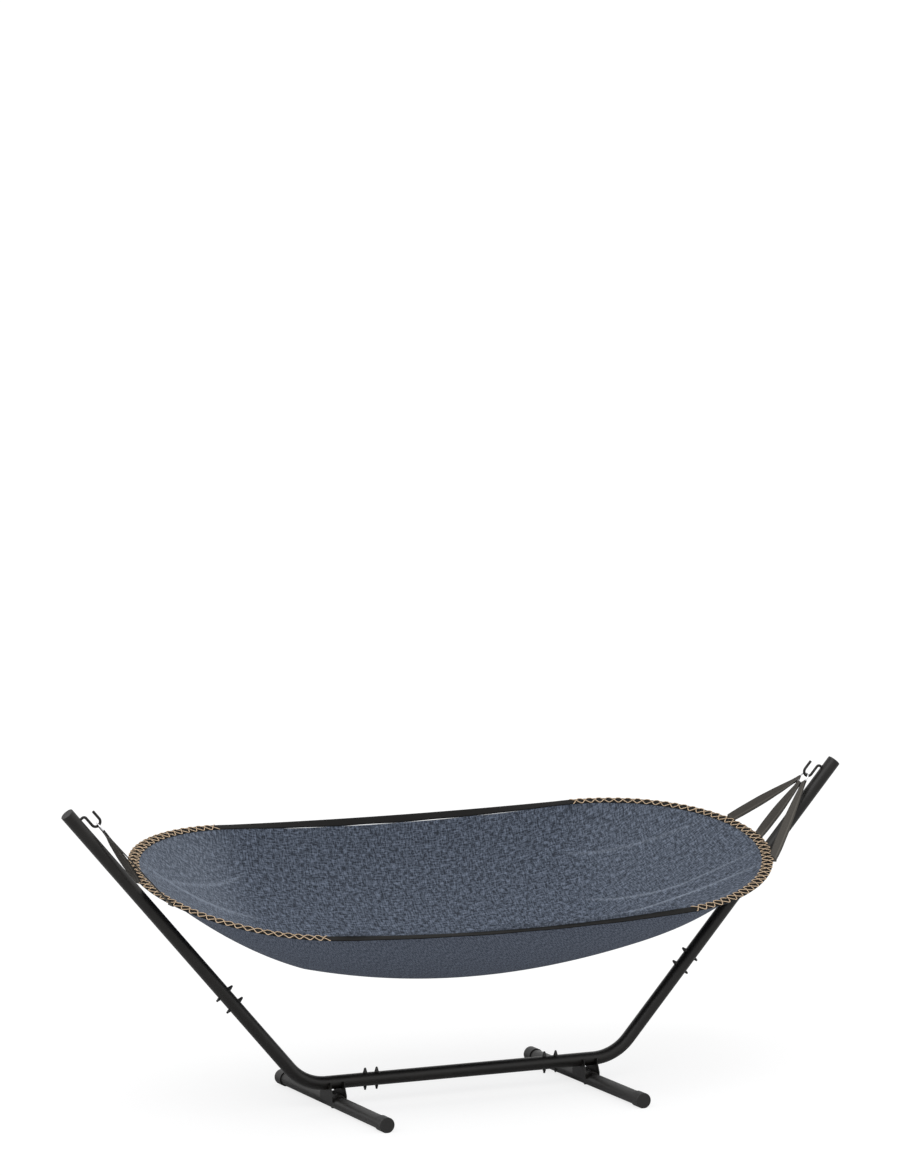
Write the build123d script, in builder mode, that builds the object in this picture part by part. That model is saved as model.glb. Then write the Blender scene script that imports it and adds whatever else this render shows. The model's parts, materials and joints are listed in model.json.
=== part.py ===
"""Oval hammock hung by two hooks from a bolted tube stand. Millimetres, Z up, X along the hammock.

The origin is on the floor, at the middle of the stand. The bed hangs swung towards -Y, as it is pictured.
"""
from math import acos, asin, cos, degrees, pi, radians, sin, sqrt, tan
import os

from build123d import *

os.makedirs("parts", exist_ok=True)

# Round tube of the stand
tube_d = 50.0
tube_wall = 1.8
spigot_clearance = 0.3
spigot_shoulder = 4.0
joint_hole_clearance = 0.2

# Feet and their sleeve caps
foot_x = 510.8
foot_half_length = 471.8
foot_cap_wall = 3.5
foot_cap_face = 3.5
foot_cap_sleeve = 48.0
foot_cap_sole = 1.0
foot_cap_clearance = 0.15

# Base tube, bend and post
axis_spacing = 67.7
bend_vertex_x = 627.8
post_angle = 49.01
bend_radius = 190.0
post_length = 1392.0
base_seam_x = 313.0
post_seam = 527.0
base_spigot_length = 108.0
post_spigot_length = 150.0
post_cap_flange = 3.0
post_cap_plug = 26.0
plug_clearance = 0.15

# Saddle brackets, which carry the base on the feet
saddle_plate = 4.0
saddle_width_y = 110.0
saddle_ear_width = 15.0
saddle_ear_rise = 5.0
saddle_skirt = 5.0
saddle_clearance = 0.1

# Bolts that hold a foot to its saddle
foot_bolt_d = 8.0
foot_bolt_head_d = 16.0
foot_bolt_head_h = 2.4
foot_bolt_stickout = 2.0
foot_nut_flats = 13.0
foot_nut_h = 6.5

# Bolts through the tube joints, each with a cap over its head and a cap nut
joint_bolt_d = 6.0
joint_bolt_flats = 10.0
joint_bolt_head_h = 4.0
joint_bolt_first = 26.0
joint_bolt_pitch = 46.0
post_bolt_first = 52.0
post_bolt_pitch = 60.0
head_cap_d = 16.0
head_cap_h = 18.0
head_cap_wall = 1.2
head_cap_tip_d = 9.0
nut_flats = 10.0
nut_hex_h = 6.0
nut_h = 15.0
nut_dome_d = 8.6
thread_clearance = 0.05
seat_clearance = 0.05

# Hooks: one bent rod each, welded into the post
hook_d = 10.0
hook_from_top = 52.0
hook_reach = 42.3
hook_hump_radius = 11.0
hook_drop = 46.0
hook_bowl_radius = 17.4
hook_tip_length = 36.0
hook_hole_clearance = 0.05

# Rings
ring_wire_d = 6.0
ring_mean_radius = 22.0
ring_hook_clearance = 0.3

# Hammock edge, flat belt all round, in the hammock's own frame below the hook line
swing_angle = 13.72
rim_half_length = 1250.0
rim_half_width = 542.0
rim_side_half = 671.0
rim_side_bow = 21.6
rim_drop = 291.6
rim_end_rise = 63.4
belt_width = 40.0
belt_thickness = 2.4

# Cloth bed
cloth_thickness = 2.0
cloth_gap = 0.3
hem_inset = 1.5
bed_depth = 362.0
keel_power = 2.4
bed_stations = 10
bed_last_half_width = 70.0

# Lacing over the belt at both round ends
lace_d = 4.5
lace_inset = 5.0
lace_pitches = 45
lace_end_x = 727.0
lace_gap = 0.3

# Suspension straps, three at each end
strap_width = 38.0
strap_thickness = 2.4
strap_eye_arc = 56.0
strap_eye_pitch = 62.0
strap_eye_clearance = 0.3
strap_seat_y = 210.0
strap_leg_top = 2.0
strap_tab = 32.0
strap_edge_gap = 0.6

# Values worked out from the sizes above
tube_r = tube_d / 2
bore_r = tube_r - tube_wall
spigot_r = bore_r - spigot_clearance
spigot_bore_r = spigot_r - tube_wall
foot_cap_r = tube_r + foot_cap_wall
foot_z = foot_cap_r - foot_cap_sole
base_z = foot_z + axis_spacing
bend_run = bend_radius * tan(radians(post_angle / 2))
joint_hole_r = joint_bolt_d / 2 + joint_hole_clearance
SIDES = {"left": -1, "right": 1}


def along_post(side, along, inward):
    """A point in the stand's plane, measured from the bend's vertex up the post and inward from its axis."""
    c, s = cos(radians(post_angle)), sin(radians(post_angle))
    return Vector(side * (bend_vertex_x + along * c - inward * s), 0, base_z + along * s + inward * c)


def post_up(side):
    """Unit vector up the post."""
    return Vector(side * cos(radians(post_angle)), 0, sin(radians(post_angle)))


def post_in(side):
    """Unit vector square to the post, towards the hammock."""
    return Vector(-side * sin(radians(post_angle)), 0, cos(radians(post_angle)))


def profile_plane(origin, across, side):
    """Plane that holds a tube's axis as its Y and a direction square to it as its X."""
    return Plane(origin=origin, x_dir=across, z_dir=(0, side, 0))


# Spots of the joint bolts: a point on the tube's axis and the direction of the bolt's head
base_bolts = []
post_bolts = []
for side in SIDES.values():
    for n in range(2):
        x = side * (base_seam_x + joint_bolt_first + n * joint_bolt_pitch)
        base_bolts.append((Vector(x, 0, base_z), Vector(0, 0, 1)))
        along = post_seam - post_bolt_first - n * post_bolt_pitch
        post_bolts.append((along_post(side, along, 0), post_in(side)))
joint_groups = {"base": base_bolts, "post": post_bolts}


def bolt_plane(spot, heading, height):
    """Plane square to a joint bolt, at a height above the tube's axis on the head's side."""
    return Plane(origin=spot + heading * height, x_dir=(0, 1, 0), z_dir=heading)


def drill_joint(spots):
    """Cuts the bolt holes through both walls of the tube in hand."""
    for spot, heading in spots:
        with BuildSketch(bolt_plane(spot, heading, -tube_d)) as hole:
            Circle(joint_hole_r)
        extrude(hole.sketch, amount=2 * tube_d, mode=Mode.SUBTRACT)


# Centre tube: full diameter between the seams, with a reduced spigot at each end
with BuildPart() as centre_tube:
    spigot_end = base_seam_x + base_spigot_length
    with BuildSketch(Plane.XZ):
        with BuildLine():
            Polyline(
                (-spigot_end, base_z + spigot_r),
                (-base_seam_x, base_z + spigot_r),
                (-base_seam_x, base_z + tube_r),
                (base_seam_x, base_z + tube_r),
                (base_seam_x, base_z + spigot_r),
                (spigot_end, base_z + spigot_r),
                (spigot_end, base_z + spigot_bore_r),
                (base_seam_x - spigot_shoulder, base_z + spigot_bore_r),
                (base_seam_x - 2 * spigot_shoulder, base_z + bore_r),
                (2 * spigot_shoulder - base_seam_x, base_z + bore_r),
                (spigot_shoulder - base_seam_x, base_z + spigot_bore_r),
                (-spigot_end, base_z + spigot_bore_r),
                close=True,
            )
        make_face()
    revolve(axis=Axis((0, 0, base_z), (1, 0, 0)))
    drill_joint(base_bolts)
centre_tube.part.label = "centre_tube"
export_step(centre_tube.part, "parts/centre_tube.step")

for name, side in SIDES.items():
    # Bend tube: from the base seam round the bend to the post seam
    with BuildPart() as bend_tube:
        with BuildLine() as bend_path:
            FilletPolyline(
                (side * base_seam_x, 0, base_z),
                (side * bend_vertex_x, 0, base_z),
                along_post(side, post_seam, 0),
                radius=bend_radius,
            )
        with BuildSketch(Plane(origin=(side * base_seam_x, 0, base_z), z_dir=(side, 0, 0))):
            Circle(tube_r)
            Circle(bore_r, mode=Mode.SUBTRACT)
        sweep(path=bend_path.wire())
        drill_joint(base_bolts)
        drill_joint(post_bolts)
    bend_tube.part.label = f"{name}_bend_tube"
    export_step(bend_tube.part, f"parts/{name}_bend_tube.step")

    # Post tube: a reduced spigot below the seam, full diameter above, with a hole for the hook
    post_tube_end = post_length - post_cap_flange
    with BuildPart() as post_tube:
        with BuildSketch(profile_plane(along_post(side, post_seam, 0), post_in(side), side)):
            with BuildLine():
                Polyline(
                    (spigot_bore_r, -post_spigot_length),
                    (spigot_r, -post_spigot_length),
                    (spigot_r, 0),
                    (tube_r, 0),
                    (tube_r, post_tube_end - post_seam),
                    (bore_r, post_tube_end - post_seam),
                    (bore_r, 2 * spigot_shoulder),
                    (spigot_bore_r, spigot_shoulder),
                    close=True,
                )
            make_face()
        revolve(axis=Axis(along_post(side, post_seam, 0), post_up(side)))
        drill_joint(post_bolts)
        hook_root = along_post(side, post_length - hook_from_top, 0)
        with BuildSketch(Plane(origin=hook_root, x_dir=(0, 1, 0), z_dir=post_in(side))):
            Circle(hook_d / 2 + hook_hole_clearance)
        extrude(amount=tube_d, mode=Mode.SUBTRACT)
    post_tube.part.label = f"{name}_post_tube"
    export_step(post_tube.part, f"parts/{name}_post_tube.step")

    # Flush plug in the top of the post
    with BuildPart() as post_cap:
        with BuildSketch(Plane(origin=along_post(side, post_tube_end, 0), z_dir=post_up(side))):
            Circle(tube_r)
        extrude(amount=post_cap_flange)
        top_edge = post_cap.edges().sort_by(Axis(hook_root, post_up(side)))[-1]
        chamfer(top_edge, length=post_cap_flange / 4)
        with BuildSketch(Plane(origin=along_post(side, post_tube_end, 0), z_dir=-post_up(side))):
            Circle(bore_r - plug_clearance)
            Circle(bore_r - plug_clearance - tube_wall, mode=Mode.SUBTRACT)
        extrude(amount=post_cap_plug)
    post_cap.part.label = f"{name}_post_cap"
    export_step(post_cap.part, f"parts/{name}_post_cap.step")

    # Hook: out of the post, down beside it, round the bowl and up to the open tip
    with BuildPart() as hook:
        hook_along = post_length - hook_from_top
        bowl_along = hook_along - hook_drop
        with BuildLine() as hook_path:
            root = along_post(side, hook_along, bore_r)
            out = along_post(side, hook_along, hook_reach - hook_hump_radius)
            over = along_post(side, hook_along - hook_hump_radius, hook_reach)
            low = along_post(side, bowl_along, hook_reach)
            bowl = along_post(side, bowl_along - hook_bowl_radius, hook_reach + hook_bowl_radius)
            rise = along_post(side, bowl_along, hook_reach + 2 * hook_bowl_radius)
            Line(root, out)
            TangentArc(out, over, tangent=post_in(side))
            Line(over, low)
            ThreePointArc(low, bowl, rise)
            Line(rise, rise + post_up(side) * hook_tip_length)
        with BuildSketch(Plane(origin=root, x_dir=(0, 1, 0), z_dir=post_in(side))):
            Circle(hook_d / 2)
        sweep(path=hook_path.wire())
        tip_edge = hook.edges().filter_by(GeomType.CIRCLE).sort_by_distance(
            rise + post_up(side) * hook_tip_length
        )[0]
        fillet(tip_edge, radius=hook_d / 5)
    hook.part.label = f"{name}_hook"
    export_step(hook.part, f"parts/{name}_hook.step")

    # Foot tube with the hole for its bolt
    foot_bore_end = foot_half_length - foot_cap_face
    with BuildPart() as foot_tube:
        with BuildSketch(Plane(origin=(side * foot_x, -foot_bore_end, foot_z), z_dir=(0, 1, 0))):
            Circle(tube_r)
            Circle(bore_r, mode=Mode.SUBTRACT)
        extrude(amount=2 * foot_bore_end)
        with Locations((side * foot_x, 0, foot_z)):
            Cylinder(foot_bolt_d / 2 + joint_hole_clearance, 2 * tube_d, mode=Mode.SUBTRACT)
    foot_tube.part.label = f"{name}_foot_tube"
    export_step(foot_tube.part, f"parts/{name}_foot_tube.step")

    # Saddle: two cheeks that cradle the base tube, joined by an arch over the foot tube
    arch_r = tube_r + saddle_clearance
    cheek_z = foot_z + saddle_skirt
    cheek_top = base_z + saddle_ear_rise
    ear_y = arch_r + saddle_ear_width
    with BuildPart() as saddle:
        with BuildSketch(Plane(origin=(side * foot_x, -saddle_width_y / 2, 0), z_dir=(0, 1, 0), x_dir=(1, 0, 0))):
            with Locations((0, -foot_z)):
                Circle(arch_r + saddle_plate)
                Circle(arch_r, mode=Mode.SUBTRACT)
            with Locations((0, -cheek_z)):
                Rectangle(4 * tube_d, tube_d, align=(Align.CENTER, Align.MIN), mode=Mode.SUBTRACT)
        extrude(amount=saddle_width_y)
        for end in (-1, 1):
            inner_x = side * foot_x + end * arch_r
            with BuildSketch(Plane(origin=(inner_x, 0, 0), x_dir=(0, 1, 0), z_dir=(1, 0, 0))) as cheek:
                with BuildLine():
                    Polyline(
                        (-saddle_width_y / 2, cheek_z),
                        (saddle_width_y / 2, cheek_z),
                        (saddle_width_y / 2, foot_z + arch_r),
                        (ear_y, base_z - tube_r / 2),
                        (ear_y, cheek_top),
                        (-ear_y, cheek_top),
                        (-ear_y, base_z - tube_r / 2),
                        (-saddle_width_y / 2, foot_z + arch_r),
                        close=True,
                    )
                make_face()
                with Locations((0, base_z)):
                    Circle(arch_r, mode=Mode.SUBTRACT)
                with Locations((0, cheek_top)):
                    Rectangle(2 * arch_r, 2 * saddle_ear_rise, mode=Mode.SUBTRACT)
                fillet(cheek.vertices().group_by(Axis.Y)[-1], radius=saddle_ear_width / 3)
            extrude(amount=end * saddle_plate)
        with Locations((side * foot_x, 0, foot_z + tube_d)):
            Cylinder(foot_bolt_d / 2 + joint_hole_clearance, 2 * tube_d, mode=Mode.SUBTRACT)
    saddle.part.label = f"{name}_saddle"
    export_step(saddle.part, f"parts/{name}_saddle.step")

# Foot bolts: a flat head under the foot, the nut on top of the saddle's arch
nut_z = foot_z + arch_r + saddle_plate
with BuildPart() as foot_bolts:
    with Locations(*[(side * foot_x, 0, foot_z - tube_r - foot_bolt_head_h) for side in SIDES.values()]):
        Cylinder(foot_bolt_head_d / 2, foot_bolt_head_h, align=(Align.CENTER, Align.CENTER, Align.MIN))
        shank = nut_z + foot_nut_h + foot_bolt_stickout - foot_z + tube_r + foot_bolt_head_h
        Cylinder(foot_bolt_d / 2, shank, align=(Align.CENTER, Align.CENTER, Align.MIN))
foot_bolts.part.label = "foot_bolts"
export_step(foot_bolts.part, "parts/foot_bolts.step")

with BuildPart() as foot_nuts:
    with BuildSketch(Plane.XY.offset(nut_z)):
        with Locations(*[(side * foot_x, 0) for side in SIDES.values()]):
            RegularPolygon(foot_nut_flats / 2, 6, major_radius=False)
            Circle(foot_bolt_d / 2 + thread_clearance, mode=Mode.SUBTRACT)
    extrude(amount=foot_nut_h)
foot_nuts.part.label = "foot_nuts"
export_step(foot_nuts.part, "parts/foot_nuts.step")

# Sleeve caps over the four ends of the feet, each with a flat sole
with BuildPart() as foot_end_caps:
    for side in SIDES.values():
        for end in (-1, 1):
            mouth = end * (foot_half_length - foot_cap_face)
            with BuildSketch(Plane(origin=(side * foot_x, mouth, foot_z), z_dir=(0, end, 0))):
                Circle(foot_cap_r)
            extrude(amount=foot_cap_face)
            with BuildSketch(Plane(origin=(side * foot_x, mouth, foot_z), z_dir=(0, -end, 0))):
                Circle(foot_cap_r)
                Circle(tube_r + foot_cap_clearance, mode=Mode.SUBTRACT)
            extrude(amount=foot_cap_sleeve)
    chamfer(
        foot_end_caps.edges().filter_by(GeomType.CIRCLE).filter_by(
            lambda e: abs(e.center().Y) > foot_half_length - foot_cap_face / 2
        ),
        length=foot_cap_face / 3,
    )
    with Locations((0, 0, 0)):
        Box(4 * foot_x, 4 * foot_half_length, 2 * foot_cap_r, align=(Align.CENTER, Align.CENTER, Align.MAX),
            mode=Mode.SUBTRACT)
foot_end_caps.part.label = "foot_end_caps"
export_step(foot_end_caps.part, "parts/foot_end_caps.step")

# Joint bolts, head covers and cap nuts, four of each at the base and four at the posts
for group, spots in joint_groups.items():
    with BuildPart() as joint_bolts:
        for spot, heading in spots:
            with BuildSketch(bolt_plane(spot, heading, tube_r)):
                RegularPolygon(joint_bolt_flats / 2, 6, major_radius=False)
            extrude(amount=joint_bolt_head_h)
            with BuildSketch(bolt_plane(spot, heading, tube_r)):
                Circle(joint_bolt_d / 2)
            extrude(amount=-(tube_d + nut_h - nut_flats / 2))
    joint_bolts.part.label = f"{group}_joint_bolts"
    export_step(joint_bolts.part, f"parts/{group}_joint_bolts.step")

    with BuildPart() as head_caps:
        for spot, heading in spots:
            across = Vector(0, 1, 0)
            along_tube = across.cross(heading)
            pocket_r = joint_bolt_flats / sqrt(3) + joint_hole_clearance
            pocket_h = tube_r + joint_bolt_head_h + joint_hole_clearance
            with BuildSketch(Plane(origin=spot, x_dir=across, z_dir=along_tube)):
                with BuildLine():
                    Polyline(
                        (0, tube_r + head_cap_h),
                        (0, pocket_h),
                        (pocket_r, pocket_h),
                        (pocket_r, tube_r / 2),
                        (head_cap_d / 2, tube_r / 2),
                        (head_cap_d / 2, tube_r + head_cap_wall),
                        (head_cap_tip_d / 2, tube_r + head_cap_h - head_cap_tip_d / 2),
                    )
                    CenterArc((0, tube_r + head_cap_h - head_cap_tip_d / 2), head_cap_tip_d / 2, 0, arc_size=90)
                make_face()
            revolve(axis=Axis(spot, heading))
            with BuildSketch(Plane(origin=spot, x_dir=across, z_dir=along_tube)):
                Circle(tube_r + seat_clearance)
            extrude(amount=head_cap_d, both=True, mode=Mode.SUBTRACT)
    head_caps.part.label = f"{group}_bolt_covers"
    export_step(head_caps.part, f"parts/{group}_bolt_covers.step")

    with BuildPart() as cap_nuts:
        for spot, heading in spots:
            nut_plane = bolt_plane(spot, -heading, tube_r)
            with BuildSketch(nut_plane):
                RegularPolygon(nut_flats / 2, 6, major_radius=False)
            extrude(amount=nut_hex_h)
            with BuildSketch(nut_plane):
                Circle(nut_dome_d / 2)
            extrude(amount=nut_h - nut_dome_d / 2)
            with Locations(Plane(origin=spot - heading * (tube_r + nut_h - nut_dome_d / 2), z_dir=-heading)):
                Sphere(nut_dome_d / 2)
            with BuildSketch(nut_plane):
                Circle(joint_bolt_d / 2 + thread_clearance)
            extrude(amount=nut_h - nut_flats / 2 + thread_clearance, mode=Mode.SUBTRACT)
    cap_nuts.part.label = f"{group}_cap_nuts"
    export_step(cap_nuts.part, f"parts/{group}_cap_nuts.step")

# The hammock's own frame: its origin is on the hook line, its X runs along the hammock
bowl_along = post_length - hook_from_top - hook_drop - hook_bowl_radius
bowl_point = along_post(1, bowl_along, hook_reach + hook_bowl_radius)
ring_lift = (hook_d + ring_wire_d) / 2 + ring_hook_clearance
ring_top = bowl_point + post_up(1) * ring_lift
swing_across = Vector(0, cos(radians(swing_angle)), sin(radians(swing_angle)))
swing_up = Vector(0, -sin(radians(swing_angle)), cos(radians(swing_angle)))
hang_origin = Vector(0, 0, bowl_point.Z)
HANG = Plane(origin=hang_origin, x_dir=(1, 0, 0), z_dir=swing_up)
LENGTHWISE = Plane(origin=hang_origin, x_dir=(1, 0, 0), z_dir=-swing_across)

rim_end_length = rim_half_length - rim_side_half
rim_arc_r = (rim_half_length**2 + rim_end_rise**2) / (2 * rim_end_rise)
hem_top = -belt_thickness / 2 - cloth_gap
hem_inner = belt_width + 3 * cloth_thickness
lace_low = belt_thickness / 2 + lace_gap
strap_top = hem_top - cloth_thickness - cloth_gap


def swung(u, v, w):
    """A direction given in the hammock's frame: along, across and up."""
    return Vector(u, 0, 0) + swing_across * v + swing_up * w


def hang(u, v, w):
    """A point given in the hammock's frame: along, across and up from the hook line."""
    return hang_origin + swung(u, v, w)


def rim_height(x):
    """Height of the belt's middle against the hook line: an arc that rises to both ends."""
    return -rim_drop + rim_arc_r - sqrt(rim_arc_r**2 - x**2)


def half_width(x, inset):
    """Half the hammock's width at x, drawn in by an inset."""
    x = abs(x)
    if x < rim_side_half:
        return rim_half_width - inset + rim_side_bow * (1 - (x / rim_side_half) ** 2)
    end = rim_end_length - inset
    return (rim_half_width - inset) * sqrt(max(0, 1 - ((x - rim_side_half) / end) ** 2))


def draw_rim(inset):
    """Closed plan outline of the hammock, drawn in by an inset: bowed sides and elliptical ends."""
    side_y = rim_half_width - inset
    end = rim_end_length - inset
    ThreePointArc((-rim_side_half, side_y), (0, side_y + rim_side_bow), (rim_side_half, side_y))
    ThreePointArc((-rim_side_half, -side_y), (0, -side_y - rim_side_bow), (rim_side_half, -side_y))
    EllipticalCenterArc((rim_side_half, 0), end, side_y, -90, arc_size=180)
    EllipticalCenterArc((-rim_side_half, 0), end, side_y, 90, arc_size=180)


def rim_slab(low, high):
    """Everything between two heights off the belt's middle, following the arc of the rim."""
    reach = rim_half_length + tube_d
    with BuildPart() as slab:
        with BuildSketch(LENGTHWISE):
            with BuildLine():
                for height in (low, high):
                    end = rim_height(reach) + height
                    ThreePointArc((-reach, end), (0, rim_height(0) + height), (reach, end))
                for x in (-reach, reach):
                    Line((x, rim_height(reach) + low), (x, rim_height(reach) + high))
            make_face()
        extrude(amount=2 * rim_half_width, both=True)
    return slab.part


def rim_band(outer, inner, low, high):
    """A flat ring between two insets of the outline and two heights off the belt's middle."""
    with BuildPart() as band:
        with BuildSketch(HANG.offset(-2 * rim_drop)):
            with BuildLine():
                draw_rim(outer)
            make_face()
            with BuildLine():
                draw_rim(inner)
            make_face(mode=Mode.SUBTRACT)
        extrude(amount=2 * rim_drop)
        add(rim_slab(low, high), mode=Mode.INTERSECT)
    return band.part


# Edge belt, flat in the plane of the rim
with BuildPart() as edge_belt:
    add(rim_band(0, belt_width, -belt_thickness / 2, belt_thickness / 2))
edge_belt.part.label = "edge_belt"
export_step(edge_belt.part, "parts/edge_belt.step")

# Cloth bed: an open boat-shaped shell, with a hem that lies under the belt
bed_half_length = rim_half_length - belt_width
bed_tip = rim_side_half + (bed_half_length - rim_side_half) * sqrt(
    1 - (bed_last_half_width / (rim_half_width - belt_width)) ** 2
)


def keel_height(x):
    """Height of the cloth along the bed's middle line."""
    low = rim_height(0) - bed_depth
    high = rim_height(bed_half_length) + hem_top
    return low + (high - low) * (abs(x) / bed_half_length) ** keel_power


def bed_section(x, thickness, lid):
    """Cross-section of the bed at x: an arc under a lid, drawn in by a thickness."""
    half = half_width(x, belt_width) - thickness
    edge = rim_height(x) + hem_top - cloth_thickness / 2
    with BuildSketch(Plane(origin=hang(x, 0, 0), x_dir=swing_across, z_dir=(1, 0, 0))) as section:
        with BuildLine():
            ThreePointArc((-half, edge), (0, keel_height(x) + thickness), (half, edge))
            Polyline((half, edge), (half, edge + lid), (-half, edge + lid), (-half, edge))
        make_face()
    return section.sketch


steps = [sin(radians(90 * n / bed_stations)) for n in range(-bed_stations, bed_stations + 1)]
outer_sections = [bed_section(bed_tip * step, 0, cloth_thickness / 10) for step in steps]
inner_sections = [bed_section((bed_tip - cloth_thickness) * step, cloth_thickness, tube_d) for step in steps]
with BuildPart() as bed_cloth:
    loft(outer_sections)
    loft(inner_sections, mode=Mode.SUBTRACT)
    add(rim_band(hem_inset, hem_inner, hem_top - cloth_thickness, hem_top))
bed_cloth.part.label = "bed_cloth"
export_step(bed_cloth.part, "parts/bed_cloth.step")

lace_half_angle = degrees(acos((lace_end_x - rim_side_half) / rim_end_length))
for name, side in SIDES.items():
    # Lacing: two crossing zigzags over the belt, round the end of the hammock
    with BuildPart() as lacing:
        with BuildSketch(HANG.offset(-2 * rim_drop)):
            for phase in (0, 1):
                turns = []
                for n in range(2 * lace_pitches + 1):
                    angle = radians(lace_half_angle * (n / lace_pitches - 1))
                    inset = lace_inset if (n + phase) % 2 else belt_width - lace_inset
                    x = side * (rim_side_half + (rim_end_length - inset) * cos(angle))
                    turns.append((x, (rim_half_width - inset) * sin(angle)))
                with BuildLine() as cord:
                    Polyline(*turns)
                trace(cord.line, line_width=lace_d)
        extrude(amount=2 * rim_drop)
        add(rim_slab(lace_low, lace_low + lace_d), mode=Mode.INTERSECT)
    lacing.part.label = f"{name}_lacing"
    export_step(lacing.part, f"parts/{name}_lacing.step")

    # Seats of the three straps on the outer edge of the belt, far to near
    seats = {}
    for row, across in (("far", 1), ("middle", 0), ("near", -1)):
        v = across * strap_seat_y
        run = sqrt(1 - (v / rim_half_width) ** 2)
        u = rim_side_half + rim_end_length * run
        rise = asin(u / rim_arc_r)
        rim_up = swung(-side * sin(rise), 0, cos(rise))
        tangent = Vector(-side * v * rim_end_length / rim_half_width, run * rim_half_width, 0).normalized()
        rim_run = swung(side * cos(rise), 0, sin(rise))
        along_rim = rim_run * (side * tangent.X) + swing_across * tangent.Y
        seats[row] = (hang(side * u, v, rim_height(u)), along_rim, rim_up)

    # Ring, in the plane of the straps' pull
    top = hang(side * ring_top.X, 0, ring_top.Z - hang_origin.Z)
    pull = sum((seat[0] - top for seat in seats.values()), Vector(0, 0, 0)).normalized()
    face = swing_across.cross(pull) * side
    ring_centre = top + pull * ring_mean_radius
    with BuildPart() as ring:
        with Locations(Plane(origin=ring_centre, x_dir=pull, z_dir=face)):
            Torus(ring_mean_radius, ring_wire_d / 2)
    ring.part.label = f"{name}_ring"
    export_step(ring.part, f"parts/{name}_ring.step")

    # Straps: an eye round the ring's wire, a flat band, and an end folded under the belt
    for row, (seat, along_rim, rim_up) in seats.items():
        turn = radians({"far": 1, "middle": 0, "near": -1}[row] * strap_eye_pitch)
        outward = along_rim.cross(rim_up) * side
        radial = pull * cos(turn) + swing_across * sin(turn)
        sideways = swing_across * cos(turn) - pull * sin(turn)
        eye_point = ring_centre + radial * ring_mean_radius
        eye_width = 2 * ring_mean_radius * sin(radians(strap_eye_arc / 2))
        start = radial * cos(radians(strap_eye_arc / 2)) - face.cross(radial) * sin(radians(strap_eye_arc / 2))
        leg_top = seat + outward * (strap_edge_gap + strap_thickness / 2) + rim_up * strap_leg_top
        with BuildSketch(Plane(origin=eye_point, x_dir=sideways, z_dir=radial * side)) as eye_end:
            Rectangle(eye_width, strap_thickness)
        with BuildSketch(Plane(origin=leg_top, x_dir=along_rim, z_dir=rim_up * -side)) as rim_end:
            Rectangle(strap_width, strap_thickness)
        with BuildPart() as strap:
            with BuildSketch(Plane(origin=seat, x_dir=outward, z_dir=along_rim * -side)):
                with Locations((strap_edge_gap + strap_thickness, strap_top)):
                    Rectangle(strap_tab, strap_thickness, align=(Align.MAX, Align.MAX))
                with Locations((strap_edge_gap, strap_top - strap_thickness)):
                    Rectangle(strap_thickness, strap_leg_top - strap_top + strap_thickness, align=Align.MIN)
            extrude(amount=strap_width / 2, both=True)
            loft([eye_end.sketch, rim_end.sketch], ruled=True)
            with BuildSketch(Plane(origin=ring_centre, x_dir=start, z_dir=face.cross(start))):
                with Locations((ring_mean_radius, 0)):
                    Circle(ring_wire_d / 2 + strap_eye_clearance + strap_thickness)
            revolve(axis=Axis(ring_centre, face), revolution_arc=strap_eye_arc)
            with Locations(Plane(origin=ring_centre, x_dir=radial, z_dir=face)):
                Torus(ring_mean_radius, ring_wire_d / 2 + strap_eye_clearance, mode=Mode.SUBTRACT)
        strap.part.label = f"{name}_{row}_strap"
        export_step(strap.part, f"parts/{name}_{row}_strap.step")
        print(name, row, strap.part.volume, len(strap.part.solids()), strap.part.is_valid)
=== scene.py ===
"""Looks of the oval hammock and its tube stand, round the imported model. Metres, Z up, X along the hammock."""
import json
from math import atan2, cos, pi, radians, sin, sqrt

import bpy
import numpy as np
from mathutils import Matrix, Vector


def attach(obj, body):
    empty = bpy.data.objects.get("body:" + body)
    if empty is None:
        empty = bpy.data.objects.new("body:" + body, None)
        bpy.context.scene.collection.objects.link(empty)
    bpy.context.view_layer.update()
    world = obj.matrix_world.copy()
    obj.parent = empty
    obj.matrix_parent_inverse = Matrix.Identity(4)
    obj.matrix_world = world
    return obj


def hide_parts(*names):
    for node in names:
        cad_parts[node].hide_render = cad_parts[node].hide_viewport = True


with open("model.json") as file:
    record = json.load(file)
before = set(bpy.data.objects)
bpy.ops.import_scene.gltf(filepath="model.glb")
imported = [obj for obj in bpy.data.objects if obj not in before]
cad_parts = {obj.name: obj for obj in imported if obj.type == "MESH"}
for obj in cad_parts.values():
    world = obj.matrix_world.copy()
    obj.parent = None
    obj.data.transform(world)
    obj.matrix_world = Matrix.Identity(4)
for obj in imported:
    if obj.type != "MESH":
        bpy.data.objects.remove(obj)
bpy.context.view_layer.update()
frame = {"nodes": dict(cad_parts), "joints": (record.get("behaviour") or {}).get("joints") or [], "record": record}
nodes = frame["nodes"]

# The hammock's own frame: along, across and up from the line through the hooks
hook_line = Vector(frame["joints"][0]["pos_m"])
swing = radians(13.72)
SIDES = {"left": -1, "right": 1}

# Rim of the bed
rim_half_length = 1.250
rim_half_width = 0.542
rim_side_half = 0.671
rim_side_bow = 0.0216
rim_drop = 0.2916
rim_end_rise = 0.0634
belt_width = 0.040
belt_thickness = 0.0024
rim_arc_radius = (rim_half_length**2 + rim_end_rise**2) / (2 * rim_end_rise)
rim_points = 720

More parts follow.
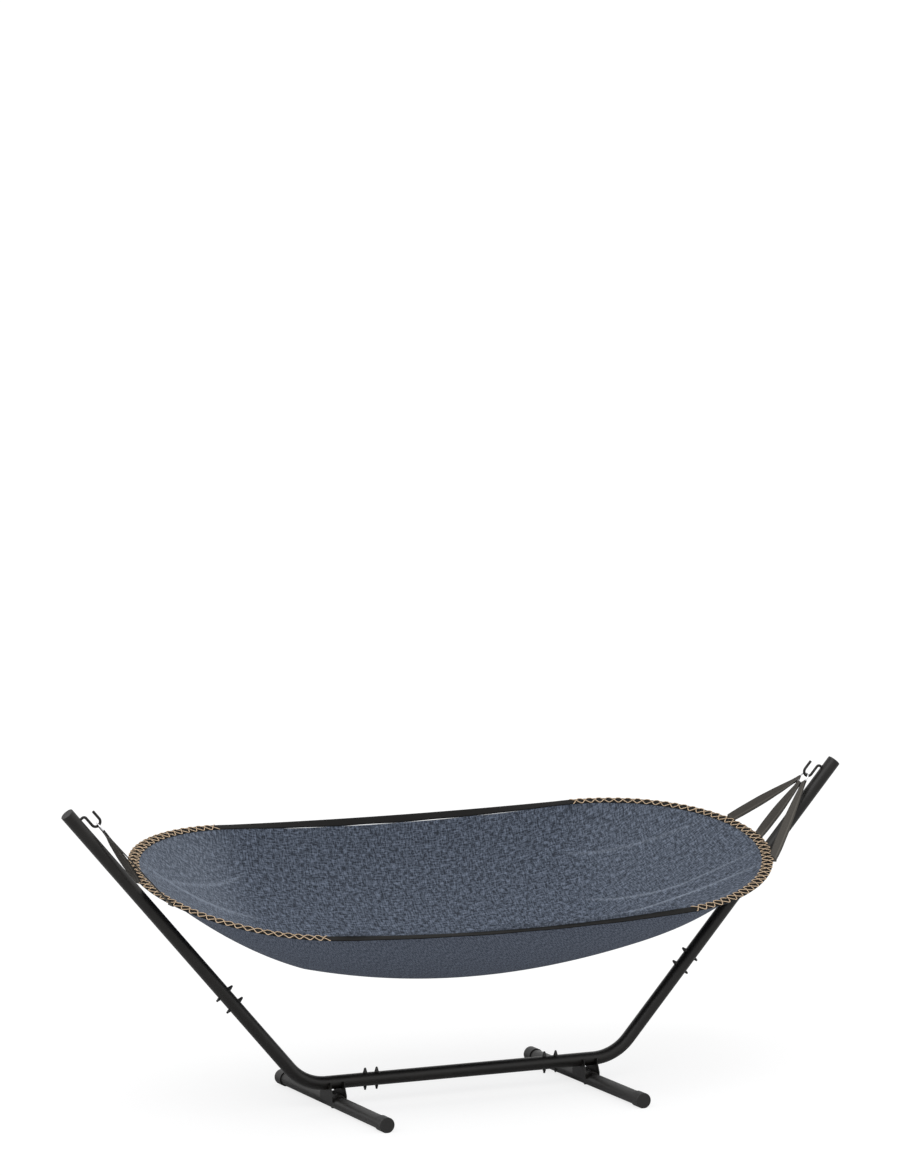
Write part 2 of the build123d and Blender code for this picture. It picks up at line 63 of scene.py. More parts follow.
# Cloth of the bed: a belly between two knuckle lines, and a ramp up to each end
cloth_thickness = 0.0016
bed_half_length = rim_half_length - belt_width
bed_half_width = rim_half_width - belt_width
bed_edge_drop = belt_thickness / 2 + 0.0015
bed_depth = 0.3585
knuckle_x = 0.650
knuckle_rise = 0.0833
ramp_fan = 1.22
ramp_sag = 0.030
ramp_rows = 72
belly_rows = 121
bed_columns = 241

# Room that the ramps take on the flat cloth, along and across, against their plan
ramp_stretch = 1.16
ramp_spread = 1.15

# Roll of the belt along the straight sides, outer edge up
roll_end_x = 0.640
far_roll = radians(17)
near_roll = radians(9)

# Creases of the ramps: share across the bed, near edge at -1, at the knuckle line and at the tip; and height
left_creases = ((0.40, 0.33, 0.0045), (0.72, 0.22, 0.0030), (0.12, 0.05, 0.0026), (-0.62, -0.50, 0.0024))
right_creases = ((0.13, -0.36, 0.0045), (0.34, -0.20, 0.0034), (-0.20, -0.55, 0.0024), (0.70, 0.35, 0.0020))
crease_width = 0.016
crease_wander = 0.02
# Crease height at which the painted highlight on it is full, and width of the painted highlight along the knuckle
# line.
crease_full_height = 0.0045
knuckle_highlight_width = 0.006

# Hem under the belt, and its free edge along the near side: swells at x, half width, height
hem_width = 0.038
hem_inset = 0.021
hem_gap = 0.0003
welt_half_length = 0.69
welt_points = 240
welt_rest = 0.003
welt_swells = ((-0.62, 0.05, 0.013), (0.62, 0.05, 0.005))
welt_long_swell = (0.25, 0.36, 0.013)

# Lacing round the ends
lace_radius = 0.0016
lace_steps = 45
lace_end_x = 0.727
lace_points_per_step = 12
lace_sides = 8
lace_dwell = 1.3
lace_turn_from = 0.84

# Straps and rings
strap_width = 0.038
strap_thickness = 0.0013
strap_edge_gap = 0.0006
strap_seats = {"far": 0.172, "middle": -0.005, "near": -0.208}
strap_face = Vector((-0.42, -0.90, 0.12))
strap_turns = {
    "left": {"far": 0.0, "middle": 0.5, "near": 0.0},
    "right": {"far": 0.5, "middle": 0.85, "near": 1.0},
}
strap_fans = {"far": 1, "middle": 0, "near": -1}
strap_steps = 40
loop_steps = 12
loop_clearance = 0.0003
strap_eye_width = 0.0207
strap_eye_pitch = radians(62)
strap_tab = 0.032
ring_top_x = 1.42554
ring_top_rise = 0.00627
ring_mean_radius = 0.022
ring_wire_radius = 0.003

# Camera, found from the photograph's own perspective
camera_azimuth = radians(-25.134)
camera_elevation = radians(7.035)
camera_distance = 21.6718
camera_target = Vector((-0.0497, 0, 1.8753))
camera_roll = radians(0.153)
camera_lens = 183.37


class Sock:
    """A shader socket with the usual arithmetic on it; each operation adds a Math node."""

    def __init__(self, paint, socket):
        self.paint = paint
        self.socket = socket

    def _math(self, operation, *values, clamp=False):
        return self.paint.node("ShaderNodeMath", {"operation": operation, "use_clamp": clamp}, values)

    def __add__(self, other):
        return self._math("ADD", self, other)

    def __sub__(self, other):
        return self._math("SUBTRACT", self, other)

    def __rsub__(self, other):
        return self._math("SUBTRACT", other, self)

    def __mul__(self, other):
        return self._math("MULTIPLY", self, other)

    __radd__ = __add__
    __rmul__ = __mul__

    def wave(self):
        return self._math("SINE", self)

    def size(self):
        return self._math("ABSOLUTE", self)

    def most(self, other):
        return self._math("MAXIMUM", self, other)

    def clamp(self):
        return self._math("ADD", self, 0, clamp=True)

    def ramp(self, low, high):
        """0 below low, 1 above high, smooth between."""
        settings = {"interpolation_type": "SMOOTHSTEP"}
        return self.paint.node("ShaderNodeMapRange", settings, [self, low, high, 0, 1], out="Result")


class Paint:
    """One procedural material, built on a Principled shader."""

    def __init__(self, name, **fixed):
        self.material = bpy.data.materials.new(name)
        self.material.use_nodes = True
        self.tree = self.material.node_tree
        self.shader = self.tree.nodes["Principled BSDF"]
        for socket, value in fixed.items():
            self.shader.inputs[socket.replace("_", " ")].default_value = value

    def node(self, kind, settings=None, values=(), out=0):
        """Adds a node with its settings and the values or links of its inputs, and gives one output."""
        made = self.tree.nodes.new(kind)
        for key, value in (settings or {}).items():
            setattr(made, key, value)
        pairs = values.items() if isinstance(values, dict) else enumerate(values)
        for key, value in pairs:
            if value is None:
                continue
            if isinstance(value, Sock):
                self.tree.links.new(value.socket, made.inputs[key])
            else:
                made.inputs[key].default_value = value
        return Sock(self, made.outputs[out])

    def place(self):
        """The point in the object's frame."""
        return self.node("ShaderNodeTexCoord", out="Object")

    def cloth(self):
        """The point on the flat cloth, in metres along and across."""
        return self.node("ShaderNodeUVMap", {"uv_map": "flat"})

    def stretch(self, point, scale):
        return self.node("ShaderNodeVectorMath", {"operation": "MULTIPLY"}, [point, scale])

    def parts(self, point):
        """The three numbers of a point."""
        split = self.node("ShaderNodeSeparateXYZ", None, [point])
        outs = split.socket.node.outputs
        return [Sock(self, out) for out in outs]

    def noise(self, point, scale, detail=2.0, roughness=0.5):
        values = {"Vector": point, "Scale": scale, "Detail": detail, "Roughness": roughness}
        return self.node("ShaderNodeTexNoise", None, values)

    def mix(self, share, first, second):
        """Colour from first to second."""
        return self.node("ShaderNodeMix", {"data_type": "RGBA"}, {0: share, 6: first, 7: second}, out=2)

    def bump(self, height, distance, strength=1.0, under=None):
        values = {"Strength": strength, "Distance": distance, "Height": height, "Normal": under}
        return self.node("ShaderNodeBump", None, values)

    def give(self, **links):
        for socket, value in links.items():
            self.tree.links.new(value.socket, self.shader.inputs[socket.replace("_", " ")])
        return self.material


def rgb(red, green, blue):
    """A colour as seen on a screen, 0 to 255, in linear light."""
    light = [((v / 255 + 0.055) / 1.055) ** 2.4 if v > 10 else v / 255 / 12.92 for v in (red, green, blue)]
    return (*light, 1.0)


def powder_coat():
    """Satin black powder coat with a fine orange-peel surface."""
    paint = Paint("black_powder_coat", Specular_IOR_Level=0.32)
    place = paint.place()
    peel = paint.noise(place, 900)
    cloud = paint.noise(place, 14, 3)
    return paint.give(
        Base_Color=paint.mix(cloud.ramp(0.35, 0.7), rgb(15, 13, 11), rgb(22, 20, 18)),
        Roughness=0.34 + cloud * 0.14,
        Normal=paint.bump(peel, 0.0004, 0.3),
    )


def moulded_plastic():
    """Black moulded plastic of the end caps and bolt covers."""
    paint = Paint("black_moulded_plastic", Specular_IOR_Level=0.4)
    place = paint.place()
    grain = paint.noise(place, 1500)
    cloud = paint.noise(place, 40)
    return paint.give(
        Base_Color=paint.mix(cloud, rgb(16, 15, 14), rgb(24, 23, 22)),
        Roughness=0.42 + cloud * 0.15,
        Normal=paint.bump(grain, 0.0002, 0.3),
    )


def black_zinc():
    """Blackened zinc of bolts and cap nuts, with a little wear."""
    paint = Paint("black_zinc", Metallic=0.6)
    cloud = paint.noise(paint.place(), 120, 4)
    return paint.give(
        Base_Color=paint.mix(cloud.ramp(0.45, 0.75), rgb(26, 26, 26), rgb(58, 57, 56)),
        Roughness=0.32 + cloud * 0.2,
    )


def polished_steel():
    """Polished steel of the rings."""
    paint = Paint("polished_steel", Metallic=1.0)
    cloud = paint.noise(paint.place(), 200, 3)
    return paint.give(
        Base_Color=paint.mix(cloud, rgb(205, 205, 208), rgb(232, 232, 235)), Roughness=0.08 + cloud * 0.10
    )


def slub_weave():
    """Slate blue slub weave: thick and thin threads both ways; painted light makes the ramps paler than the deep
    belly, and painted highlights lie on the crease ridges and the knuckle line.
    """
    paint = Paint("slub_weave", Specular_IOR_Level=0.2)
    flat = paint.cloth()
    warp = paint.noise(paint.stretch(flat, (45, 170, 1)), 1.0, 2, 0.6).ramp(0.43, 0.64)
    weft = paint.noise(paint.stretch(flat, (170, 45, 1)), 1.0, 2, 0.6).ramp(0.43, 0.64)
    fine = paint.noise(flat, 420, 2).ramp(0.36, 0.66)
    threads = warp * 0.37 + weft * 0.37 + fine * 0.26
    along, _, _ = paint.parts(flat)
    # Painted light and shade: the left ramp is painted paler in full and the right ramp a quarter as much, while
    # the deep belly keeps the darker colours.
    ramps = (along * -1).ramp(0.60, 0.88).most(along.ramp(0.60, 0.88) * 0.25)
    low = paint.mix(ramps, rgb(17, 21, 28), rgb(60, 66, 76))
    high = paint.mix(ramps, rgb(128, 139, 158), rgb(142, 152, 168))
    # Painted highlight: the crease ridges and the knuckle line are mixed towards a pale colour.
    crease_highlight, _, _ = paint.parts(paint.node("ShaderNodeUVMap", {"uv_map": "crease"}))
    return paint.give(
        Base_Color=paint.mix(crease_highlight * (0.4 + threads * 0.4), paint.mix(threads, low, high), rgb(156, 166, 181)),
        Roughness=0.84 + fine * 0.1,
        Normal=paint.bump(threads, 0.0016, 0.7),
    )


def twill_back():
    """Outer face of the same cloth: finer, with slanting ribs."""
    paint = Paint("twill_back", Specular_IOR_Level=0.2)
    flat = paint.cloth()
    along, across, _ = paint.parts(flat)
    slant = paint.node("ShaderNodeCombineXYZ", None, [(along + across) * 40, (along - across) * 260])
    ribs = paint.noise(slant, 1.0, 2, 0.5).ramp(0.42, 0.58)
    fine = paint.noise(flat, 650).ramp(0.3, 0.7)
    tone = ribs * 0.6 + fine * 0.4
    return paint.give(
        Base_Color=paint.mix(tone, rgb(44, 51, 62), rgb(112, 120, 136)),
        Roughness=0.86 + fine * 0.08,
        Normal=paint.bump(tone, 0.0012, 0.5),
    )


def webbing(name, low, high, pitch, gloss=0.25, line=0.0):
    """Woven flat band: ribs across it at a pitch in metres, cords along it, a painted highlight line, and painted
    shade darkening both edges.
    """
    paint = Paint(name, Specular_IOR_Level=gloss)
    flat = paint.cloth()
    along, across, _ = paint.parts(flat)
    ribs = (along * (2 * pi / pitch)).wave() * 0.5 + 0.5
    cords = (across * (2 * pi / (1.6 * pitch))).wave() * 0.5 + 0.5
    fuzz = paint.noise(flat, 700, 3)
    # Painted shade: both edges of the band are darkened.
    edge = across.size().ramp(0.40 * strap_width, 0.48 * strap_width)
    # Painted highlight: a paler line off the middle of the band.
    highlight_stripe = 1 - (across + 0.24 * strap_width).size().ramp(0.02 * strap_width, 0.07 * strap_width)
    tone = (ribs * 0.25 + cords * 0.25 + fuzz * 0.6 + highlight_stripe * line) * (1 - edge * 0.7)
    return paint.give(
        Base_Color=paint.mix(tone.clamp(), low, high),
        Roughness=0.6 + fuzz * 0.25,
        Normal=paint.bump(ribs * 0.5 + cords * 0.5, 0.0006, 0.6),
    )


def laid_cord():
    """Tan laid cord: its strands wind round it, with painted shade in the grooves between them."""
    paint = Paint("laid_cord", Specular_IOR_Level=0.2)
    along, around, _ = paint.parts(paint.cloth())
    strands = (along * (2 * pi / 0.009) + around * (2 * pi * 3)).wave() * 0.5 + 0.5
    fuzz = paint.noise(paint.place(), 1600)
    # Painted shade in the grooves between the strands.
    tone = (strands * 0.5 + fuzz * 0.5).clamp()
    return paint.give(
        Base_Color=paint.mix(tone, rgb(190, 162, 132), rgb(240, 216, 186)),
        Roughness=0.75 + fuzz * 0.15,
        Normal=paint.bump(strands, 0.0008, 0.6),
    )


def swung(u, v, w):
    """A direction given along, across and up in the hammock's frame."""
    return Vector((u, v * cos(swing) - w * sin(swing), v * sin(swing) + w * cos(swing)))


def hang(u, v, w):
    """A point given along, across and up from the hook line."""
    return hook_line + swung(u, v, w)


def hang_all(points):
    """Many points of the hammock's frame at once, as rows."""
    points = np.asarray(points, float)
    turn = np.array([[1, 0, 0], [0, cos(swing), -sin(swing)], [0, sin(swing), cos(swing)]])
    return points @ turn.T + np.array(hook_line)


def rim_height(x):
    """Height of the belt's middle at x: an arc that rises to both ends."""
    return -rim_drop + rim_arc_radius - np.sqrt(rim_arc_radius**2 - np.square(x))


def rim_plan(s, inset):
    """Plan point and outward direction of the rim, drawn in by an inset.

    s runs from 0 to 4: right end, far side, left end, near side.
    """
    part = int(s) % 4
    share = s - int(s)
    side_y = rim_half_width - inset
    end = rim_half_length - rim_side_half - inset
    if part in (0, 2):
        side = 1 if part == 0 else -1
        angle = (share - 0.5) * pi
        x = side * (rim_side_half + end * cos(angle))
        y = side * side_y * sin(angle)
        normal = Vector((side * cos(angle) / end, side * sin(angle) / side_y, 0))
    else:
        side = 1 if part == 1 else -1
        x = side * rim_side_half * (1 - 2 * share)
        y = side * (side_y + rim_side_bow * (1 - (x / rim_side_half) ** 2))
        normal = Vector((2 * rim_side_bow * x / rim_side_half**2, side, 0))
    return x, y, normal.normalized()


def give_layer(mesh, name, values):
    """Two numbers for each point of a mesh, which its material can read."""
    corners = np.zeros(len(mesh.loops), int)
    mesh.loops.foreach_get("vertex_index", corners)
    layer = mesh.uv_layers.new(name=name)
    layer.data.foreach_set("uv", np.asarray(values, float)[corners].ravel())


def mesh_piece(name, points, faces, material, flat=None, smooth=True):
    """A mesh object from points and faces, with a material and each point's place on the flat cloth."""
    mesh = bpy.data.meshes.new(name)
    mesh.from_pydata([tuple(p) for p in points], [], faces)
    mesh.materials.append(material)
    if flat is not None:
        give_layer(mesh, "flat", flat)
    if smooth:
        mesh.shade_smooth()
    piece = bpy.data.objects.new(name, mesh)
    bpy.context.scene.collection.objects.link(piece)
    return piece


def grid_faces(rows, columns, close_rows=False, close_columns=False):
    """Quads of a grid of points, row by row."""
    faces = []
    for r in range(rows if close_rows else rows - 1):
        for c in range(columns if close_columns else columns - 1):
            a, b = r * columns, (r + 1) % rows * columns
            d = (c + 1) % columns
            faces.append((a + c, a + d, b + d, b + c))
    return faces


def side_bump(x):
    """1 at the middle of a long side, 0 from its ends on."""
    return np.clip(1 - (np.asarray(x) / roll_end_x) ** 2, 0, 1)


def bed_arc(x, keel, across):
    """Cross-section arc of the belly at x: place across and height for shares of its half from -1 to 1."""
    half = bed_half_width + rim_side_bow * (1 - (x / rim_side_half) ** 2)
    edge = rim_height(x) - bed_edge_drop
    sag = edge - keel
    radius = (half**2 + sag**2) / (2 * sag)
    turn = atan2(half, radius - sag) * across
    return radius * np.sin(turn), keel + radius * (1 - np.cos(turn)), radius * turn


def bed_rows(across):
    """Rows of the bed from the left end to the right: points, places on the flat cloth, and the painted highlight
    of the creases and the knuckle line.
    """
    keel_low = -rim_drop - bed_depth
    rows, flats, crease_highlight = [], [], []
    knuckle_y, knuckle_z, knuckle_run = bed_arc(knuckle_x, keel_low + knuckle_rise, across)
    turn = np.sign(across) * np.abs(across) ** ramp_fan * pi / 2
    tip_x = rim_side_half + (bed_half_length - rim_side_half) * np.cos(turn)
    tip_y = bed_half_width * np.sin(turn)
    tip_z = rim_height(tip_x) - bed_edge_drop
    ramps = {}
    for side, creases in ((-1, left_creases), (1, right_creases)):
        made = []
        for share in np.linspace(0, 1, ramp_rows + 1)[1:]:
            x = knuckle_x + (tip_x - knuckle_x) * share
            y = knuckle_y + (tip_y - knuckle_y) * share
            z = knuckle_z + (tip_z - knuckle_z) * share
            z = z - ramp_sag * 4 * share * (1 - share) * (1 - across**4)
            swell = sin(pi * share) ** 0.5
            highlight_mark = np.zeros(len(across))
            for knuckle_share, tip_share, height in creases:
                where = knuckle_share + (tip_share - knuckle_share) * share
                wander = crease_wander * sin(3 * share + 9 * knuckle_share)
                off = (across - where - wander) / crease_width
                z = z + height * swell * (np.exp(-off**2) - 0.4 * np.exp(-((off / 3) ** 2)))
                # Painted highlight along the crease ridge.
                highlight_mark = np.maximum(highlight_mark, swell * height / crease_full_height * np.exp(-((off * 1.4) ** 2)))
            run = knuckle_run + (tip_y * ramp_spread - knuckle_run) * share
            reach = knuckle_x + (x - knuckle_x) * ramp_stretch
            flat = np.column_stack([side * reach, run])
            made.append((np.column_stack([side * x, y, z]), flat, highlight_mark))
        ramps[side] = made
    belly = []
    for x in np.linspace(-knuckle_x, knuckle_x, belly_rows):
        y, z, run = bed_arc(x, keel_low + knuckle_rise * (x / knuckle_x) ** 2, across)
        z = z - belt_width * sin(far_roll) * side_bump(x) * np.clip(across, 0, 1) ** 8
        # Painted highlight along the knuckle line, on the near part of the belly.
        highlight_mark = 0.5 * np.exp(-(((knuckle_x - abs(x)) / knuckle_highlight_width) ** 2)) * np.clip(0.3 - across, 0, 1)
        along = np.full(len(y), x)
        belly.append((np.column_stack([along, y, z]), np.column_stack([along, run]), highlight_mark))
    for points, flat, highlight_mark in ramps[-1][::-1] + belly + ramps[1]:
        rows.append(points)
        flats.append(flat)
        crease_highlight.append(highlight_mark)
    return np.array(rows), np.array(flats), np.array(crease_highlight)


def bed():
    """The cloth bed: a shell of two faces, with the weave inside and the twill back outside."""
    rows, flats, crease_highlight = bed_rows(np.linspace(-1, 1, bed_columns))
    faces = [face[::-1] for face in grid_faces(len(rows), bed_columns)]
    piece = mesh_piece("bed_shell", hang_all(rows.reshape(-1, 3)), faces, slub_weave(), flats.reshape(-1, 2))
    # The painted highlights reach the material through the crease layer.
    give_layer(piece.data, "crease", np.column_stack([crease_highlight.ravel(), np.zeros(crease_highlight.size)]))
    piece.data.materials.append(twill_back())
    thick = piece.modifiers.new("thickness", "SOLIDIFY")
    thick.thickness = cloth_thickness
    thick.offset = -1
    thick.material_offset = 1
    return piece


def ribbon(name, path, across, up, width, thickness, material, closed=False):
    """A flat band along a path: its width runs along one direction and its thickness along another."""
    profile = [(-0.5, 0.3), (-0.47, 0.5), (-0.25, 0.5), (0, 0.5), (0.25, 0.5), (0.47, 0.5), (0.5, 0.3)]
    profile += [(-a, -b) for a, b in profile]
    points, flat = [], []
    travelled = 0
    widths = width if hasattr(width, "__len__") else [width] * len(path)
    for n, point in enumerate(path):
        if n:
            travelled += (Vector(point) - Vector(path[n - 1])).length
        for a, b in profile:
            points.append(Vector(point) + across[n] * (a * widths[n]) + up[n] * (b * thickness))
            flat.append((travelled, a * strap_width))
    count = len(profile)
    faces = grid_faces(len(path), count, close_rows=closed, close_columns=True)
    if not closed:
        faces.append(tuple(range(count)))
        faces.append(tuple(reversed(range((len(path) - 1) * count, len(path) * count))))
    return mesh_piece(name, points, faces, material, flat)


def rim_band(name, width, inset, below, thickness, material):
    """A band all round the rim: its width, the inset of its middle, and how far it lies below the belt."""
    path, across, up = [], [], []
    for n in range(rim_points):
        x, y, _ = rim_plan(4 * n / rim_points, 0)
        near = y < 0
        roll = float(side_bump(x)) * (near_roll if near else far_roll) * (1 + 0.12 * sin(23 * x + 1.0))
        pivot = belt_width if near else 0.0
        x, y, normal = rim_plan(4 * n / rim_points, pivot)
        slope = atan2(x, rim_arc_radius)
        top = Vector((-sin(slope), 0, cos(slope)))
        out = (normal - top * normal.dot(top)).normalized()
        leaning = out * cos(roll) + top * sin(roll)
        square = top * cos(roll) - out * sin(roll)
        middle = Vector((x, y, float(rim_height(x)))) + leaning * (pivot - inset) - square * below
        path.append(hang(*middle))
        across.append(swung(*leaning))
        up.append(swung(*square))
    return ribbon(name, path, across, up, width, thickness, material, closed=True)


def near_welt(material):
    """The hem's free edge, which stands up a little along the near side in waves."""
    path, across, up, heights = [], [], [], []
    for x in np.linspace(-welt_half_length, welt_half_length, welt_points):
        half = bed_half_width - 0.004 + rim_side_bow * (1 - (x / rim_side_half) ** 2)
        rise = welt_rest + 0.0025 * sin(31 * x) * side_bump(x)
        for middle, reach, height in welt_swells:
            rise += height * np.exp(-(((x - middle) / reach) ** 2))
        middle, reach, height = welt_long_swell
        rise += height * np.exp(-(((x - middle) / reach) ** 4))
        lean = swung(0, 0.45, 0.9).normalized()
        path.append(hang(x, -half, float(rim_height(x)) - bed_edge_drop + rise / 2))
        across.append(lean)
        up.append(swung(0, -0.9, 0.45).normalized())
        heights.append(max(0.002, float(rise) * 1.3))
    return ribbon("bed_near_welt", path, across, up, heights, cloth_thickness, material)


def take_place(piece, node):
    """The piece is seen in place of a soft solid of the hammock, and swings with it."""
    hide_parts(node)
    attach(piece, "hammock")


def belt():
    """The flat black belt all round the edge."""
    # The belt's edges carry the webbing's painted shade.
    black = webbing("belt_weave", rgb(8, 8, 8), rgb(22, 21, 20), 0.0032, 0.1)
    piece = rim_band("edge_webbing", belt_width, belt_width / 2, 0, belt_thickness, black)
    take_place(piece, "edge_belt")


def tube_along(path, radius, sides):
    """Points, faces and a flat map of a round cord along a path."""
    path = np.asarray(path, float)
    tangents = np.gradient(path, axis=0)
    tangents /= np.linalg.norm(tangents, axis=1)[:, None]
    up = np.array([0.13, 0.2, 0.97])
    side = np.cross(tangents, up)
    side /= np.linalg.norm(side, axis=1)[:, None]
    lift = np.cross(side, tangents)
    turns = 2 * pi * np.arange(sides) / sides
    ring = side[:, None] * np.cos(turns)[None, :, None] + lift[:, None] * np.sin(turns)[None, :, None]
    points = (path[:, None] + radius * ring).reshape(-1, 3)
    travelled = np.r_[0, np.cumsum(np.linalg.norm(np.diff(path, axis=0), axis=1))]
    around = np.arange(sides) / sides
    flat = np.stack(np.broadcast_arrays(travelled[:, None], around[None]), -1).reshape(-1, 2)
    return points, grid_faces(len(path), sides, close_columns=True), flat


def lacing(name, side, material):
    """Two cords that cross over the belt, step by step, round one end."""
    half_angle = np.arccos((lace_end_x - rim_side_half) / (rim_half_length - rim_side_half))
    count = lace_steps * lace_points_per_step
    points, faces, flat = [], [], []
    for phase in (0, 1):
        path = []
        for n in range(count + 1):
            angle = half_angle * (2 * n / count - 1)
            share = n / lace_points_per_step + phase
            wave = max(-1, min(1, lace_dwell * (1 - 4 * abs(share / 2 - int(share / 2) - 0.5))))
            inset = belt_width / 2 + wave * (belt_width / 2 + 0.3 * lace_radius)
            end = rim_half_length - rim_side_half - inset
            x = side * (rim_side_half + end * cos(angle))
            y = (rim_half_width - inset) * sin(angle)
            crossing = lace_radius * (1 + (2.0 * (1 - abs(wave)) ** 3 if phase else 0))
            edge = max(0, (abs(wave) - lace_turn_from) / (1 - lace_turn_from))
            lift = belt_thickness / 2 + crossing - 0.8 * lace_radius * edge
            path.append((x, y, float(rim_height(x)) + lift))
        made = tube_along(hang_all(path), lace_radius, lace_sides)
        faces += [tuple(v + len(points) for v in face) for face in made[1]]
        points += list(made[0])
        flat += list(made[2])
    piece = mesh_piece(f"{name}_lace", points, faces, material, flat)
    take_place(piece, f"{name}_lacing")


def strap_seat(side, v):
    """Where a strap leaves the belt: the point, the run of the rim and the belt's upward direction."""
    end_length = rim_half_length - rim_side_half
    run = sqrt(1 - (v / rim_half_width) ** 2)
    u = rim_side_half + end_length * run
    rise = atan2(u, sqrt(rim_arc_radius**2 - u**2))
    rim_up = swung(-side * sin(rise), 0, cos(rise))
    tangent = Vector((-side * v * end_length / rim_half_width, run * rim_half_width, 0)).normalized()
    rim_run = swung(side * cos(rise), 0, sin(rise))
    along_rim = rim_run * (side * tangent.x) + swung(0, 1, 0) * tangent.y
    return hang(side * u, v, float(rim_height(u))), along_rim, rim_up


def strap(name, row, side, seat, ring_centre, pull, face, material):
    """One webbing strap: from the belt round the ring's wire and back, its two layers together."""
    foot_middle, along_rim, rim_up = seat
    turn = strap_fans[row] * strap_eye_pitch
    outward = along_rim.cross(rim_up) * side
    radial = pull * cos(turn) + swung(0, 1, 0) * sin(turn)
    sideways = swung(0, 1, 0) * cos(turn) - pull * sin(turn)
    eye = ring_centre + radial * ring_mean_radius
    loop_radius = ring_wire_radius + loop_clearance + strap_thickness / 2
    foot = foot_middle + outward * (strap_edge_gap + strap_thickness) + rim_up * 0.002
    face_out = -face if face.dot(outward) < 0 else face
    way = (foot - eye).normalized()
    shown = way.cross(strap_face).normalized()
    if shown.dot(sideways) < 0:
        shown = -shown
    held = sideways.lerp(shown, strap_turns[name][row])
    held = (held - way * held.dot(way)).normalized()
    last = held.lerp(along_rim if held.dot(along_rim) > 0 else -along_rim, 0.5).normalized()
    thick = way.cross(held).normalized()
    if thick.dot(face_out) < 0:
        thick = -thick
    path, across, widths = [], [], []
    for layer in (-1, 1):
        run = []
        for n in range(strap_steps + 1):
            share = n / strap_steps
            spread = loop_radius * max(0, 1 - share * 9) + strap_thickness * 0.55 * min(1, share * 9)
            early = min(1, share * 4)
            late = max(0, share * 5 - 4)
            thick_way = face_out.lerp(thick, early).normalized()
            wide_way = sideways.lerp(held, early).lerp(last, late).normalized()
            ease = min(1, share * 1.6)
            wide = strap_eye_width + (strap_width - strap_eye_width) * ease * ease * (3 - 2 * ease)
            run.append((eye.lerp(foot, share) + thick_way * (spread * layer), wide_way, wide))
        if layer < 0:
            run.reverse()
        else:
            for n in range(1, loop_steps):
                angle = pi * n / loop_steps
                path.append(eye - face_out * (loop_radius * cos(angle)) - radial * (loop_radius * sin(angle)))
                across.append(sideways)
                widths.append(strap_eye_width)
        for spot, wide_way, wide in run:
            path.append(spot)
            across.append(wide_way)
            widths.append(wide)
    under = foot_middle - rim_up * (belt_thickness / 2 + 0.0035 + strap_thickness / 2)
    corner = foot_middle + outward * (strap_edge_gap + strap_thickness) - rim_up * 0.0045
    for spot in (corner, under, under - outward * strap_tab / 2, under - outward * strap_tab):
        path.append(spot)
        across.append(last)
        widths.append(strap_width)
    up = []
    for n in range(len(path)):
        ahead = path[min(n + 1, len(path) - 1)] - path[max(n - 1, 0)]
        up.append(ahead.cross(across[n]).normalized())
    piece = ribbon(f"{name}_{row}_web", path, across, up, widths, strap_thickness, material)
    take_place(piece, f"{name}_{row}_strap")


def straps(name, side, material):
    """The three straps of one end, which share its ring."""
    seats = {row: strap_seat(side, v) for row, v in strap_seats.items()}
    ring_top = hang(side * ring_top_x, 0, ring_top_rise)
    pull = sum((seat[0] - ring_top for seat in seats.values()), Vector()).normalized()
    face = swung(0, 1, 0).cross(pull) * side
    ring_centre = ring_top + pull * ring_mean_radius
    for row, seat in seats.items():
        strap(name, row, side, seat, ring_centre, pull, face, material)


def steel_and_plastic():
    """Finishes of the rigid nodes that stay as they are."""
    finishes = {
        "black_paint": powder_coat(),
        "black_plastic": moulded_plastic(),
        "black_bolts": black_zinc(),
        "polished_ring": polished_steel(),
    }
    for entry in frame["record"]["subparts"]:
        finish = finishes.get(entry["material_slot"])
        if finish:
            node = nodes[entry["node"]]
            node.data.materials.clear()
            node.data.materials.append(finish)


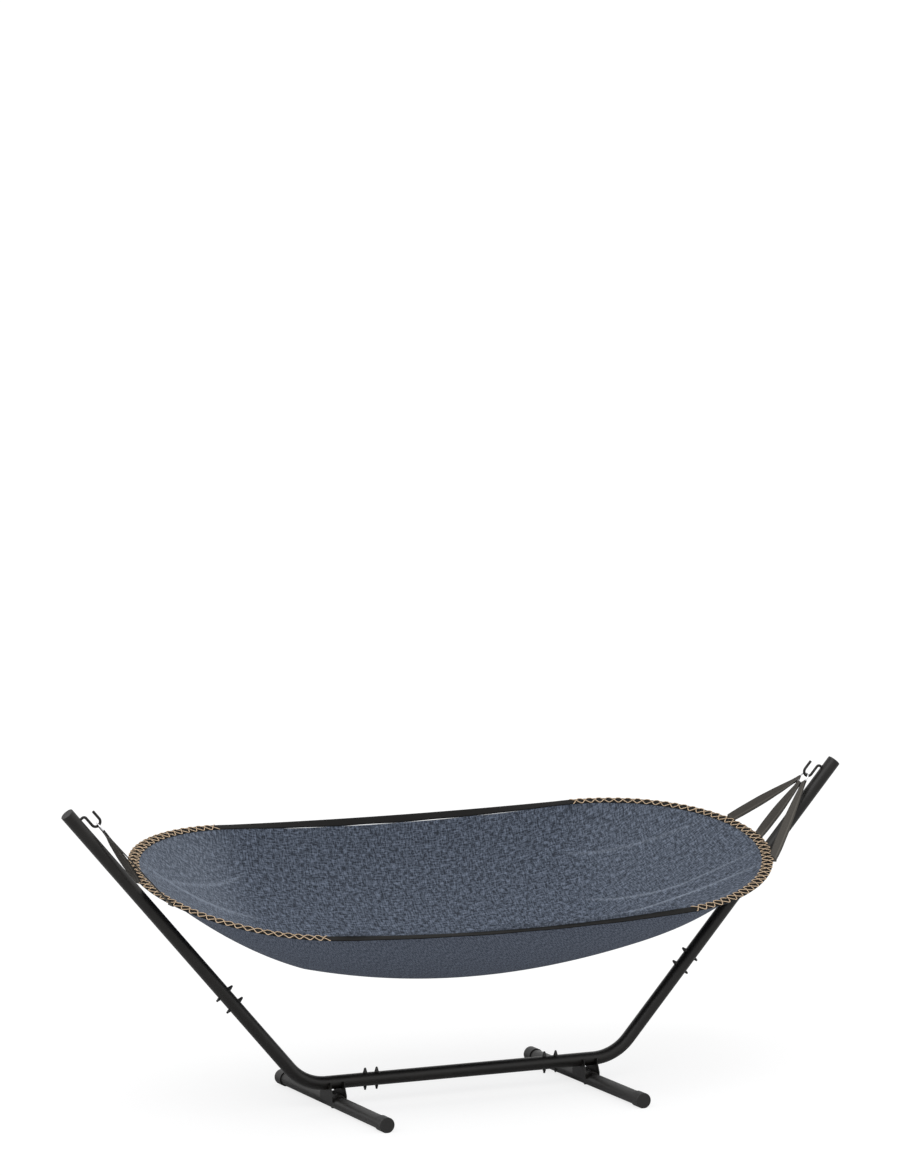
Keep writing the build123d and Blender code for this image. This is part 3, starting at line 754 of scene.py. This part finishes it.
def stage():
    """Pale floor, white surroundings and soft studio light."""
    floor_paint = Paint("pale_floor", Base_Color=(0.8, 0.8, 0.8, 1), Roughness=0.9, Specular_IOR_Level=0.0)
    glow = floor_paint.node("ShaderNodeEmission", None, {"Strength": 1.22})
    seen = floor_paint.node("ShaderNodeLightPath", out="Is Camera Ray")
    body = Sock(floor_paint, floor_paint.shader.outputs[0])
    both = floor_paint.node("ShaderNodeMixShader", None, [seen * 0.64, body, glow])
    floor_paint.tree.links.new(both.socket, floor_paint.tree.nodes["Material Output"].inputs[0])
    bpy.ops.mesh.primitive_plane_add(size=400, location=(0, 0, 0))
    floor = bpy.context.object
    floor.name = "floor"
    floor.data.materials.append(floor_paint.material)
    world = bpy.data.worlds.new("surroundings")
    bpy.context.scene.world = world
    world.use_nodes = True
    tree = world.node_tree
    rays = tree.nodes.new("ShaderNodeLightPath")
    choice = tree.nodes.new("ShaderNodeMixShader")
    last = rays.outputs["Is Camera Ray"]
    for name in ("Is Glossy Ray", "Is Transmission Ray"):
        either = tree.nodes.new("ShaderNodeMath")
        either.operation = "MAXIMUM"
        tree.links.new(last, either.inputs[0])
        tree.links.new(rays.outputs[name], either.inputs[1])
        last = either.outputs[0]
    tree.links.new(last, choice.inputs[0])
    for place, strength in ((1, 0.5), (2, 1.0)):
        back = tree.nodes.new("ShaderNodeBackground")
        back.inputs["Color"].default_value = (1, 1, 1, 1)
        back.inputs["Strength"].default_value = strength
        tree.links.new(back.outputs[0], choice.inputs[place])
    tree.links.new(choice.outputs[0], tree.nodes["World Output"].inputs[0])
    for name, (way, strength, spread) in {
        "key": ((-0.5, -0.6, 0.95), 1.15, 50),
        "fill": ((0.7, -0.6, 0.6), 0.45, 70),
        "top": ((0.1, 0.3, 1.0), 0.40, 70),
    }.items():
        data = bpy.data.lights.new(name, "SUN")
        data.energy = strength
        data.angle = radians(spread)
        lamp = bpy.data.objects.new(name, data)
        lamp.rotation_euler = Vector(way).to_track_quat("Z", "Y").to_euler()
        bpy.context.scene.collection.objects.link(lamp)


def camera():
    """The photograph's viewpoint."""
    back = Vector((
        sin(camera_azimuth) * cos(camera_elevation),
        -cos(camera_azimuth) * cos(camera_elevation),
        sin(camera_elevation),
    ))
    data = bpy.data.cameras.new("view")
    data.lens = camera_lens
    data.sensor_width = 36
    data.clip_end = 200
    view = bpy.data.objects.new("view", data)
    view.location = camera_target + back * camera_distance
    view.rotation_mode = "QUATERNION"
    turn = (-back).to_track_quat("-Z", "Y").to_matrix().to_4x4() @ Matrix.Rotation(camera_roll, 4, "Z")
    view.rotation_quaternion = turn.to_quaternion()
    bpy.context.scene.collection.objects.link(view)
    bpy.context.scene.camera = view


camera()
stage()
steel_and_plastic()
shell = bed()
weave = shell.data.materials[0]
hem_below = belt_thickness / 2 + hem_gap + cloth_thickness / 2
hem = rim_band("bed_hem_band", hem_width, hem_inset, hem_below, cloth_thickness, weave)
welt = near_welt(weave)
for piece in (shell, hem, welt):
    take_place(piece, "bed_cloth")
belt()
cord = laid_cord()
# The straps' webbing carries the painted highlight line.
grey = webbing("strap_weave", rgb(24, 23, 22), rgb(98, 94, 88), 0.0026, 0.25, 0.5)
for name, side in SIDES.items():
    lacing(name, side, cord)
    straps(name, side, grey)
bpy.context.scene.view_settings.view_transform = "Standard"
